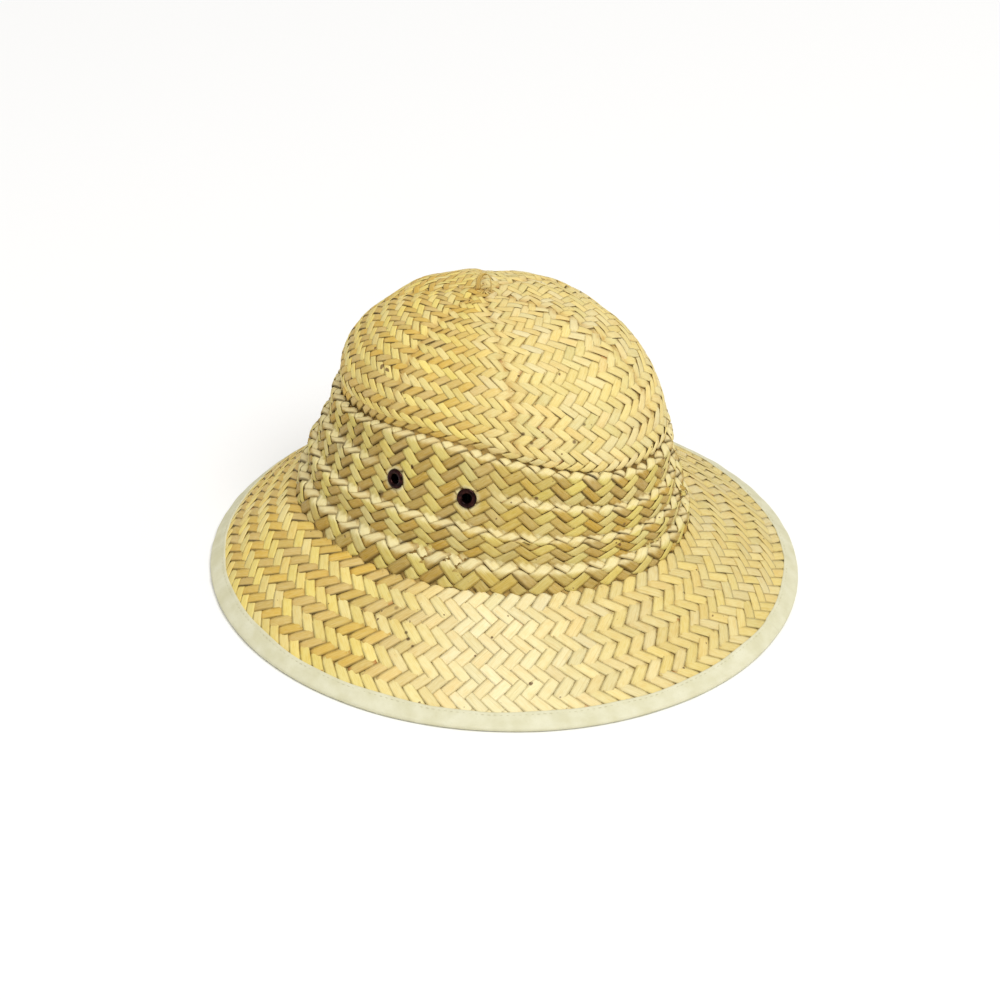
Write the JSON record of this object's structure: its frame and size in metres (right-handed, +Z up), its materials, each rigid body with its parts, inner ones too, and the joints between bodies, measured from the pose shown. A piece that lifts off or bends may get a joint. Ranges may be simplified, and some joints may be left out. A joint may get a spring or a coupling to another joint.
{
  "type": "woven straw pith helmet",
  "caption": "Stiff woven palm-straw sun helmet: a domed, pleated crown with vent eyelets, a sloping round brim bound in cloth and a small straw loop on top.",
  "frame": {"origin": "centre of the hat's outline, on the surface that its rim rests on", "axes": "+Z up through the crown, the front of the hat towards -Y, the wearer's left towards +X"},
  "size_m": [0.339, 0.3442, 0.1927],
  "materials": {
    "woven_straw": "dry natural palm straw, cream to golden with green-grey and brown strips",
    "binding_cloth": "plain cream cotton tape, stitched",
    "eyelet_metal": "dark bronze, worn shiny"
  },
  "bodies": {
    "root": {"straw_body": "woven_straw", "top_loop": "woven_straw", "edge_binding": "binding_cloth", "eyelet_right_front": "eyelet_metal", "eyelet_right_back": "eyelet_metal", "eyelet_left_front": "eyelet_metal", "eyelet_left_back": "eyelet_metal"}
  },
  "joints": []
}
